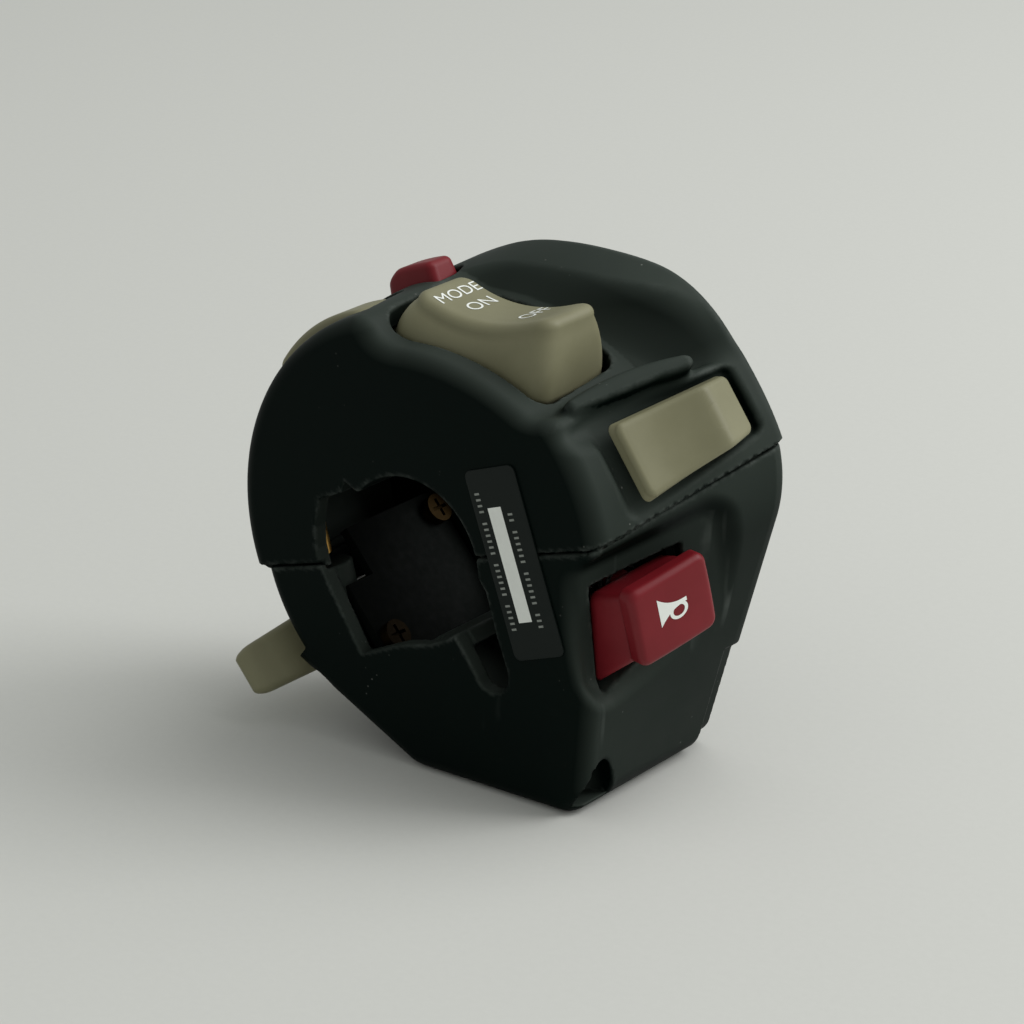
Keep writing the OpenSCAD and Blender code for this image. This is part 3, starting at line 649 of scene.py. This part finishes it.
# Materials
class Nodes:
    """Short way to build a material's node tree."""

    def __init__(self, name):
        self.material = bpy.data.materials.new(name)
        self.material.use_nodes = True
        self.tree = self.material.node_tree
        self.shader = self.tree.nodes["Principled BSDF"]
        self.place = self.add("ShaderNodeTexCoord").outputs["Object"]

    def add(self, kind, **inputs):
        node = self.tree.nodes.new(kind)
        for key, value in inputs.items():
            self.set(node, key.replace("_", " "), value)
        return node

    def set(self, node, key, value):
        socket = node.inputs[int(key)] if key.isdigit() else node.inputs[key]
        if isinstance(value, bpy.types.NodeSocket):
            self.tree.links.new(value, socket)
        else:
            socket.default_value = value

    def attribute(self, name):
        node = self.add("ShaderNodeAttribute")
        node.attribute_name = name
        return node.outputs["Fac"]

    def noise(self, scale, detail=4.0, rough=0.55, stretch=None):
        where = self.place
        if stretch:
            where = self.add("ShaderNodeMapping", Vector=where, Scale=stretch[0],
                             Rotation=stretch[1]).outputs["Vector"]
        node = self.add("ShaderNodeTexNoise", Vector=where, Scale=scale, Detail=detail, Roughness=rough)
        return node.outputs["Fac"]

    def ramp(self, value, low, high, first=0.0, last=1.0):
        node = self.add("ShaderNodeMapRange", Value=value)
        for key, number in zip(("From Min", "From Max", "To Min", "To Max"), (low, high, first, last)):
            node.inputs[key].default_value = number
        return node.outputs["Result"]

    def maths(self, mode, a, b):
        node = self.tree.nodes.new("ShaderNodeMath")
        node.operation = mode
        node.use_clamp = True
        self.set(node, "0", a)
        self.set(node, "1", b)
        return node.outputs[0]

    def times(self, a, b):
        return self.maths("MULTIPLY", a, b)

    def plus(self, a, b):
        return self.maths("ADD", a, b)

    def mix(self, share, a, b):
        node = self.tree.nodes.new("ShaderNodeMix")
        node.data_type = "RGBA"
        for key, value in zip((0, 6, 7), (share, a, b)):
            self.set(node, str(key), value)
        return node.outputs[2]

    def bump(self, height, strength, distance):
        node = self.add("ShaderNodeBump", Height=height, Strength=strength, Distance=distance)
        self.set(self.shader, "Normal", node.outputs["Normal"])

    def surface(self, **values):
        for key, value in values.items():
            self.set(self.shader, key.replace("_", " "), value)
        return self.material


def rgb(r, g, b):
    """Linear colour from display values of 0 to 255."""
    c = np.array([r, g, b]) / 255
    return (*np.where(c < 0.04045, c / 12.92, ((c + 0.055) / 1.055) ** 2.4).tolist(), 1.0)


# Point values that the casing's finish reads: worn edges, and how far a face looks up or to the rider, which
# sets a painted sheen where the lamps fall
EDGE_WEAR = "edge_wear"
TOP_SHEEN = "painted_top_sheen"
SHEEN_WAY = (0.5, 0.05, 0.8)
DUST = rgb(150, 152, 146)
GRAIN_DEPTH = 0.00005


def moulded(name, colour, pale, worn, roughness, grain, gloss, film=None, specks=0.0, wear=None):
    """Moulded plastic: clouded colour, fine grain, worn edges, hair scratches and dust.

    The film is a painted sheen: the greyer tone of faces that look up or to the rider, where the lamps light
    them, laid on in patches.
    """
    m = Nodes(name)
    cloud = m.noise(130, 5)
    tone = m.mix(m.ramp(cloud, 0.35, 0.7), colour, pale)
    # Painted sheen: faces that look up or to the rider turn towards the film colour, as if lit by the lamps
    if film:
        sheen_patches = m.ramp(m.noise(45, 4), 0.3, 0.7, 0.8, 1.0)
        sheen_share = m.times(m.ramp(m.attribute(TOP_SHEEN), 0.0, 0.8), sheen_patches)
        tone = m.mix(sheen_share, tone, film)
    scratch = m.noise(240, 2, 0.5, ((1, 1, 0.035), (0.5, 0.35, 0.2)))
    scratch = m.times(m.ramp(scratch, 0.68, 0.74), m.ramp(m.noise(60), 0.5, 0.62))
    rub = m.times(scratch, 0.35)
    if wear:
        chips = m.ramp(m.noise(420, 6, 0.7), 0.42, 0.66)
        rub = m.plus(rub, m.times(m.attribute(wear), chips))
    tone = m.mix(rub, tone, worn)
    if specks:
        dust = m.add("ShaderNodeTexVoronoi", Vector=m.place, Scale=620.0)
        dust = m.times(m.ramp(dust.outputs["Distance"], 0.1, 0.05), m.ramp(m.noise(75), 0.55, 0.68))
        tone = m.mix(m.times(dust, specks), tone, DUST)
    pits = m.plus(m.noise(grain, 3), m.noise(grain * 0.3, 2))
    m.bump(m.times(pits, 0.5), 0.16, GRAIN_DEPTH)
    shine = m.ramp(cloud, 0.3, 0.75, roughness - 0.05, roughness + 0.06)
    return m.surface(Base_Color=tone, Roughness=shine, Specular_IOR_Level=gloss)


def plain_finish(name, colour, pale, roughness, metallic=0.0, scale=900, gloss=0.5):
    """Finish of a small inner piece: two close tones in fine noise, with grain."""
    m = Nodes(name)
    cloud = m.noise(scale, 4)
    m.bump(m.noise(scale * 3, 3), 0.12, GRAIN_DEPTH)
    return m.surface(Base_Color=m.mix(cloud, colour, pale), Metallic=metallic, Specular_IOR_Level=gloss,
                     Roughness=m.ramp(cloud, 0.3, 0.7, roughness - 0.06, roughness + 0.06))


# The film colour is a painted sheen on faces that look up or to the rider
black_plastic = moulded("black moulded plastic", rgb(0, 10, 7), rgb(2, 13, 9), rgb(92, 98, 94),
                        roughness=0.5, grain=2600, gloss=0.06, film=rgb(56, 63, 58), specks=0.5,
                        wear=EDGE_WEAR)
beige_plastic = moulded("warm grey plastic", rgb(121, 119, 92), rgb(129, 127, 100), rgb(160, 158, 135),
                        roughness=0.5, grain=2400, gloss=0.3)
red_plastic = moulded("dark red plastic", rgb(113, 21, 29), rgb(122, 28, 36), rgb(150, 62, 62),
                      roughness=0.46, grain=2200, gloss=0.25, specks=0.25)
inner_plastic = plain_finish("inner plastic", rgb(6, 9, 8), rgb(9, 12, 11), 0.65, gloss=0.1)
switch_body = plain_finish("switch body", rgb(9, 10, 11), rgb(14, 15, 16), 0.55, gloss=0.15)
steel = plain_finish("bright steel", rgb(150, 150, 148), rgb(176, 176, 172), 0.3, metallic=1.0)
zinc = plain_finish("zinc plated screw", rgb(168, 166, 158), rgb(196, 194, 184), 0.34, metallic=1.0)
brass = plain_finish("brass", rgb(178, 134, 58), rgb(202, 160, 84), 0.32, metallic=1.0)
# The circuit board is painted near black: painted shade of the inside of the casing, not its own colour
shaded_board_finish = plain_finish("circuit board darkened as painted shade", rgb(5, 9, 7), rgb(8, 13, 10), 0.7, gloss=0.06)
# The board screws' brass is painted dark: painted shade of the inside of the casing
shaded_brass = plain_finish("brass darkened as painted shade", rgb(30, 22, 10), rgb(40, 30, 14), 0.55, metallic=1.0)
rubber = plain_finish("black rubber", rgb(20, 20, 20), rgb(30, 30, 29), 0.7)
label_film = plain_finish("label film", rgb(12, 20, 18), rgb(17, 25, 22), 0.4, scale=500, gloss=0.16)
white_print = plain_finish("white print", rgb(228, 232, 226), rgb(240, 243, 238), 0.5)
pale_print = plain_finish("pale print", rgb(120, 126, 120), rgb(146, 150, 144), 0.5)

NODE_FINISH = (
    (inner_plastic, ("rocker_bracket", "info_bracket", "turn_track", "turn_carriage", "horn_guide_plate",
                     "hazard_guide_plate")),
    (switch_body, ("rocker_switches", "turn_switches", "horn_switch", "trigger_switch", "info_switches",
                   "hazard_switch")),
    (steel, ("rocker_pin", "trigger_pin", "info_pin", "turn_spring", "horn_spring", "trigger_spring",
             "hazard_spring")),
    (zinc, ("casing_screws",)),
    (brass, ("screw_inserts",)),
    (shaded_brass, ("board_screws",)),
    (shaded_board_finish, ("circuit_board",)),
    (rubber, ("cable_gland",)))
for finish, names in NODE_FINISH:
    for name in names:
        node = frame["nodes"][name]
        node.data.materials.clear()
        node.data.materials.append(finish)

# Casing pieces
NORMAL_STEP = 0.06
WEAR_HOP = 0.5
WEAR_FROM = 0.7
WEAR_RAMP = 1.2
WEAR_SHARE = 0.45
WEAR_LOW = -16
WEAR_CLIMB = 8


def put_values(piece, name, values):
    """One number for each point of a piece, kept under a name for its material."""
    piece.data.attributes.new(name, "FLOAT", "POINT").data.foreach_set("value", values)


def casing_half(name, field, box, node):
    """Casing half with normals from its field.

    Its edge wear comes from how sharply the field turns, and its painted sheen from how far the normals look
    up or to the rider.
    """
    points, quads = zero_surface(field, *box, CELL)
    piece = put_mesh(name, points, quads.tolist(), "casing", "black_plastic", black_plastic, (node,))
    slope = slope_of(field, points, NORMAL_STEP)
    slope /= np.linalg.norm(slope, axis=1)[:, None]
    piece.data.normals_split_custom_set_from_vertices(slope.tolist())
    hops = [s * h for h in WEAR_HOP * np.eye(3) for s in (-1, 1)]
    turn = sum(field(*(points + hop).T) for hop in hops) - len(hops) * field(*points.T)
    sharp = np.clip((turn / WEAR_HOP ** 2 - WEAR_FROM) / WEAR_RAMP, 0, 1)
    put_values(piece, EDGE_WEAR, WEAR_SHARE * sharp * smooth((points[:, 2] - WEAR_LOW) / WEAR_CLIMB))
    # Painted sheen: how far each normal looks up or to the rider, towards the lamps
    put_values(piece, TOP_SHEEN, slope @ np.array(SHEEN_WAY))


casing_half("casing_upper_half", upper_half, UPPER_BOX, "upper_shell")
casing_half("casing_lower_half", lower_half, LOWER_BOX, "lower_shell")

# Mode rocker: feet and crowns here and below are two corners across the cap
ROCKER_FOOT = ((4.7, -12.4), (18.9, 12.4))
ROCKER_CROWN = ((6.2, -10.7), (17.3, 11.0))
ROCKER_BASE = 26.0
ROCKER_LOW = 31.8
ROCKER_LOW_Z = 5
ROCKER_DISH = 0.026
ROCKER_LEVEL_Z = -7.2
ROCKER_LEVEL = 0.1
ROCKER_EDGE = 1.6


def rocker_top(y, z):
    """Dished along its length, higher at the rider's end, where it levels off."""
    level = ROCKER_LEVEL * np.maximum(ROCKER_LEVEL_Z - z, 0) ** 2
    return ROCKER_LOW + ROCKER_DISH * (z - ROCKER_LOW_Z) ** 2 - level


rocker_cap = cap(ROCKER_FOOT, ROCKER_CROWN, ROCKER_BASE, rocker_top, ROCKER_EDGE, (2.2, 2.4), bow=2.2)
rocker_hub = brick((19.3, 5.4, -2.6), (26.6, 14.6, 2.6))
put_grids("mode_rocker_cap", ROCKER, (rocker_cap, rocker_hub), "mode_rocker", "beige_plastic",
          beige_plastic, ("mode_rocker",))

# Turn signal key
KEY_FOOT = ((KEY_Y - 9.4, -4.8), (KEY_Y + 9.4, 4.8))
KEY_CROWN = ((KEY_Y - 9.1, -4.6), (KEY_Y + 9.1, 4.6))
KEY_FACE = 9
KEY_RIDGE = KEY_Y + 3.7
KEY_LOW = 2.3
KEY_CLIMB = 2.1
KEY_DISH = 0.75
KEY_FALL = 0.28
KEY_RIDGE_SOFT = 0.3
KEY_EDGE = 0.8


def key_top(y, z):
    """Dished thumb face that rises to a ridge, then falls to the dome end."""
    f = np.clip((y - KEY_Y + KEY_FACE) / (KEY_RIDGE - KEY_Y + KEY_FACE), 0, 1)
    beyond = y - KEY_RIDGE
    fall = KEY_FALL * (beyond + np.sqrt(beyond ** 2 + KEY_RIDGE_SOFT))
    return KEY_LOW + KEY_CLIMB * f - KEY_DISH * np.sin(math.pi * f) - fall


key_cap = cap(KEY_FOOT, KEY_CROWN, key_floor, key_top, KEY_EDGE, (1.0, 1.2), 24, 10)
key_cap[0][:, 2] *= key_width(key_cap[0][:, 1])
key_neck = brick((-3.0, KEY_Y - 5.6, -3.2), (1.6, KEY_Y + 5.6, 3.2))
key_stem = brick((-7.6, 15.2, -1.3), (-2.0, 17.8, 1.3))
put_grids("turn_signal_key", KEY, (key_cap, key_neck, key_stem), "turn_key", "beige_plastic",
          beige_plastic, ("turn_key",))

# Horn button
HORN_PAD_FOOT = ((-6.0, -6.5), (6.7, 4.4))
HORN_PAD_CROWN = ((-6.1, -6.6), (6.8, 4.5))
HORN_PAD_BASE = 0.7
HORN_PAD_TOP = 3.4
HORN_LEAN = 0.02
HORN_LEAN_Y = -5
HORN_BULGE = 0.006
HORN_BULGE_ALONG = 0.6
HORN_EDGE = 0.95
SKIRT_TOP = 0.8
SKIRT_DROP = 5.8
SKIRT_RINGS = 14


def horn_top(y, z):
    """Nearly flat pad, a little lower towards the dome and towards its edges."""
    bulge = HORN_BULGE * (z ** 2 + HORN_BULGE_ALONG * y ** 2)
    return HORN_PAD_TOP - HORN_LEAN * (y - HORN_LEAN_Y) - bulge


def horn_skirt():
    """Skirt under the pad: rings that go from a small rectangle to the wider four corners of its foot."""
    low, high = np.array([-5.7, -6.1]), np.array([6.2, 3.4])
    loop = loop_of(low, high, 0.9, 12, 10, 5)
    u, v = ((loop - low) / (high - low)).T[:, :, None]
    near, far, far_top, near_top = np.array(HORN_FOOT)
    foot = (1 - u) * (1 - v) * near + u * (1 - v) * far + u * v * far_top + (1 - u) * v * near_top
    level = u[:, 0] * 0 + SKIRT_TOP
    return closed(np.array([np.column_stack([level - SKIRT_DROP * f, loop * (1 - f) + foot * f])
                            for f in np.linspace(1, 0, SKIRT_RINGS)]))


horn_pad = cap(HORN_PAD_FOOT, HORN_PAD_CROWN, HORN_PAD_BASE, horn_top, HORN_EDGE, (1.2, 1.5), 20, 14)
horn_stem = brick((-13.4, -1.9, -1.4), (-4.0, 0.9, 1.4))
put_grids("horn_push_button", HORN, (horn_pad, horn_skirt(), horn_stem), "horn_button", "red_plastic",
          red_plastic, ("horn_button",))

# Hazard button
HAZARD_FOOT = ((16.4, -4.0), (22.0, 5.2))
HAZARD_CROWN = ((16.7, -3.7), (21.7, 4.9))
HAZARD_BASE = 30.4
HAZARD_TOP = 35.5
HAZARD_BULGE = 0.018
HAZARD_BEVEL = 1.2
HAZARD_BEVEL_FROM = 2.2
HAZARD_BEVEL_RUN = 3.2
HAZARD_EDGE = 0.9


def hazard_top(y, z):
    """Shallow crown with a bevel towards the front."""
    bevel = HAZARD_BEVEL * smooth((z - HAZARD_BEVEL_FROM) / HAZARD_BEVEL_RUN)
    return HAZARD_TOP - HAZARD_BULGE * z ** 2 - bevel


hazard_cap = cap(HAZARD_FOOT, HAZARD_CROWN, HAZARD_BASE, hazard_top, HAZARD_EDGE, (1.0, 1.2), 10, 14)
hazard_stem = brick((24.3, 16.1, -1.3), (30.8, 18.7, 1.3))
put_grids("hazard_push_button", HAZARD, (hazard_cap, hazard_stem), "hazard_button", "red_plastic",
          red_plastic, ("hazard_button",))

# Info rocker
INFO_FOOT = ((4.4, -9.4), (12.6, 9.4))
INFO_CROWN = ((4.7, -8.9), (12.3, 8.9))
INFO_BASE = 27.4
INFO_ARC_C = 11.0
INFO_ARC_R = 22.0
INFO_EDGE = 1.0


def info_top(y, z):
    """Arc that bulges out from the casing."""
    return INFO_ARC_C + np.sqrt(INFO_ARC_R ** 2 - z ** 2)


info_cap = cap(INFO_FOOT, INFO_CROWN, INFO_BASE, info_top, INFO_EDGE, (1.2, 1.6))
info_hub = brick((22.6, 6.1, -2.2), (28.6, 10.9, 2.2))
put_grids("info_rocker_cap", INFO, (info_cap, info_hub), "info_rocker", "beige_plastic",
          beige_plastic, ("info_rocker",))

# Flasher trigger: straight length, length of its round ends, half thickness, and half width along it
BLADE = 22.4
BLADE_END = 2.4
BLADE_ROOT = 0.4
BLADE_ROUND = 2.45
BLADE_HALF = 1.5
BLADE_ALONG = (0, 12, 23.8)
BLADE_WIDTH = (4.1, 4.1, 3.4)
BLADE_TIP_WIDTH = 0.65
BLADE_CORNER = 1.1
BLADE_CORNER_SHARE = 0.85


def blade_round(past, least):
    """Share of the full section past the start of a round end: a quarter of an ellipse, never quite zero."""
    return np.sqrt(np.clip(1 - (past / BLADE_ROUND) ** 2, least, 1))


def trigger_blade():
    """Paddle: a rounded section carried along the blade, narrower past its middle and round at both ends."""
    quarter = math.pi / 2
    reach = np.concatenate([BLADE_ROOT + BLADE_END - BLADE_END * (1 - np.cos(np.linspace(0, quarter, 8))),
                            np.linspace(0, -BLADE, 24)[1:],
                            -BLADE - BLADE_END * np.sin(np.linspace(0, quarter, 9))[1:]])
    tip = reach < -BLADE
    half = np.interp(-reach, BLADE_ALONG, BLADE_WIDTH)
    tip_width = blade_round(-reach - BLADE, 0.05) * (1 - BLADE_TIP_WIDTH) + BLADE_TIP_WIDTH
    half = half * np.where(tip, tip_width, 1)
    thick = BLADE_HALF * np.where(tip, blade_round(-reach - BLADE, 0.02), 1)
    thick = np.where(reach > BLADE_ROOT, BLADE_HALF * blade_round(reach - BLADE_ROOT, 0.02), thick)
    rings = []
    for y, h, t in zip(reach, half, thick):
        xz = loop_of((-t, -h), (t, h), min(BLADE_CORNER, t * BLADE_CORNER_SHARE), 3, 8, 6)
        rings.append(np.column_stack([xz[:, 0], xz[:, 0] * 0 + y, xz[:, 1]]))
    return closed(np.array(rings))


put_grids("flasher_trigger_paddle", TRIGGER, (trigger_blade(),), "flasher_trigger", "beige_plastic",
          beige_plastic, ("flasher_trigger",))

# Label: plate, blank bar, and two columns of dashes, as start across, start along and count
LABEL_SIZE = ((-4.1, -12.6), (4.1, 12.6))
LABEL_T = 0.25
LABEL_EDGE = 0.06
PRINT_LIFT = 0.03
PRINT_SINK = 0.01
PRINT_EDGE = 0.012
DASH = (0.75, 0.28)
DASH_PITCH = 0.78
DASH_COLUMNS = ((-3.3, -8.6, 24), (1.2, -8.6, 20))


def print_patch(low, high):
    """Thin flat patch of print on the label."""
    return brick((LABEL_T - PRINT_SINK, *low), (LABEL_T + PRINT_LIFT, *high), PRINT_EDGE)


label_plate = cap(LABEL_SIZE, LABEL_SIZE, 0.0, lambda y, z: y * 0 + LABEL_T, LABEL_EDGE, (1.0, 1.0), 6, 12)
put_grids("label_plate", LABEL, (label_plate,), "casing", "label_film", label_film, ("label",))
bar = print_patch((-1.8, -7.7), (0.35, 7.5))
put_grids("label_bar", LABEL, (bar,), "casing", "label_film", white_print)
dashes = [print_patch((w, z), (w + DASH[0], z + DASH[1])) for w, z0, n in DASH_COLUMNS
          for k, z in enumerate(z0 + DASH_PITCH * np.arange(n)) if (k * 5 + n) % 7]
put_grids("label_dashes", LABEL, dashes, "casing", "label_film", pale_print)

# Printed marks: words as text, size, and place across the rocker
ROCKER_WORDS = (("MODE", 2.6, (11.9, 7.7)), ("ON", 2.9, (12.4, 4.2)), ("OFF", 2.9, (12.8, -3.85)))
WORD_STRETCH = 1.15
WORD_LIFT = 0.05
SIGN_LIFT = 0.04


def word(text, size, spot, where, top):
    """Word laid on a cap: the letters' outline is made a mesh, then lifted to the cap's own height."""
    curve = bpy.data.curves.new("letters", "FONT")
    curve.body = text
    curve.size = size
    curve.align_x = "CENTER"
    curve.align_y = "CENTER"
    curve.resolution_u = 4
    holder = bpy.data.objects.new("letters", curve)
    bpy.context.scene.collection.objects.link(holder)
    flat = bpy.data.meshes.new_from_object(holder.evaluated_get(bpy.context.evaluated_depsgraph_get()))
    bpy.data.objects.remove(holder)
    shape = bmesh.new()
    shape.from_mesh(flat)
    bmesh.ops.subdivide_edges(shape, edges=shape.edges, cuts=2)
    bmesh.ops.triangulate(shape, faces=shape.faces)
    points = np.array([v.co[:] for v in shape.verts])
    shape.verts.ensure_lookup_table()
    faces = [[v.index for v in f.verts] for f in shape.faces]
    shape.free()
    bpy.data.meshes.remove(flat)
    y = spot[0] + points[:, 0] * WORD_STRETCH
    z = spot[1] + points[:, 1]
    return world(where, np.column_stack([top(y, z) + WORD_LIFT, y, z])), faces


def horn_mark():
    """Horn sign: a bell that widens along its axis, and an oval ring round its tube."""
    t = np.linspace(0, 1, 16)
    half = 0.28 + 1.75 * t ** 2.6
    along = 2.3 - 4.6 * t
    bell = np.stack([np.stack([along, -half], 1), np.stack([along, half], 1)], 1)
    a = np.linspace(0, 2 * math.pi, 33)
    ring = np.stack([np.stack([0.8 + 1.5 * w * np.cos(a), -1.0 + 1.15 * w * np.sin(a)], 1)
                     for w in (1.0, 0.64)], 1)
    strips = []
    for strip in (bell, ring):
        yz = strip.reshape(-1, 2)
        k = np.arange(len(strip) - 1) * 2
        strips.append((np.column_stack([horn_top(yz[:, 0], yz[:, 1]) + SIGN_LIFT, yz]),
                       np.stack([k, k + 1, k + 3, k + 2], 1).tolist()))
    return merged(*strips)


rocker_print = merged(*(word(*entry, ROCKER, rocker_top) for entry in ROCKER_WORDS))
put_mesh("rocker_words", *rocker_print, "mode_rocker", "beige_plastic", white_print)
points, faces = horn_mark()
put_mesh("horn_sign", world(HORN, points), faces, "horn_button", "red_plastic", white_print)

# Floor
FLOOR_HALF = 2000.0
FLOOR_CORNERS = ((-1, -1), (1, -1), (1, 1), (-1, 1))
mesh = bpy.data.meshes.new("studio_floor")
corners = np.array([(a * FLOOR_HALF, b * FLOOR_HALF, FOOT) for a, b in FLOOR_CORNERS])
mesh.from_pydata((corners * MM).tolist(), [], [(0, 1, 2, 3)])
floor = bpy.data.objects.new("studio_floor", mesh)
bpy.context.scene.collection.objects.link(floor)
paper = Nodes("pale paper")
paper_tone = paper.mix(paper.noise(900, 3), rgb(205, 206, 201), rgb(209, 210, 205))
mesh.materials.append(paper.surface(Base_Color=paper_tone, Roughness=0.9, Specular_IOR_Level=0.1))


# Light
def soft_lamp(name, spot, size, power):
    """Square lamp that faces the origin."""
    data = bpy.data.lights.new(name, "AREA")
    data.shape = "SQUARE"
    data.size = size
    data.energy = power
    lamp = bpy.data.objects.new(name, data)
    lamp.location = spot
    lamp.rotation_mode = "QUATERNION"
    lamp.rotation_quaternion = (-Vector(spot)).to_track_quat("-Z", "Y")
    bpy.context.scene.collection.objects.link(lamp)


soft_lamp("overhead_softbox", (0.35, 0.42, 0.8), size=0.9, power=5.3)
soft_lamp("side_softbox", (0.8, 0.66, 0.6), size=0.6, power=5.0)

world_light = bpy.data.worlds.new("studio_world")
bpy.context.scene.world = world_light
world_light.use_nodes = True
sky = world_light.node_tree.nodes["Background"]
sky.inputs["Color"].default_value = (0.9, 0.92, 0.9, 1)
sky.inputs["Strength"].default_value = 0.46

# Camera
AZIMUTH = math.radians(37.5)
ELEVATION = math.radians(21)
eye = bpy.data.cameras.new("photo_camera")
eye.sensor_fit = "HORIZONTAL"
eye.angle = math.radians(14.996)
eye.clip_start = 0.01
camera = bpy.data.objects.new("photo_camera", eye)
back = Vector((math.sin(AZIMUTH) * math.cos(ELEVATION), -math.cos(AZIMUTH) * math.cos(ELEVATION),
               math.sin(ELEVATION)))
camera.location = (0.293395, -0.360401, 0.185064)
camera.rotation_mode = "QUATERNION"
camera.rotation_quaternion = (-back).to_track_quat("-Z", "Y")
bpy.context.scene.collection.objects.link(camera)
bpy.context.scene.camera = camera
bpy.context.scene.view_settings.view_transform = "Standard"
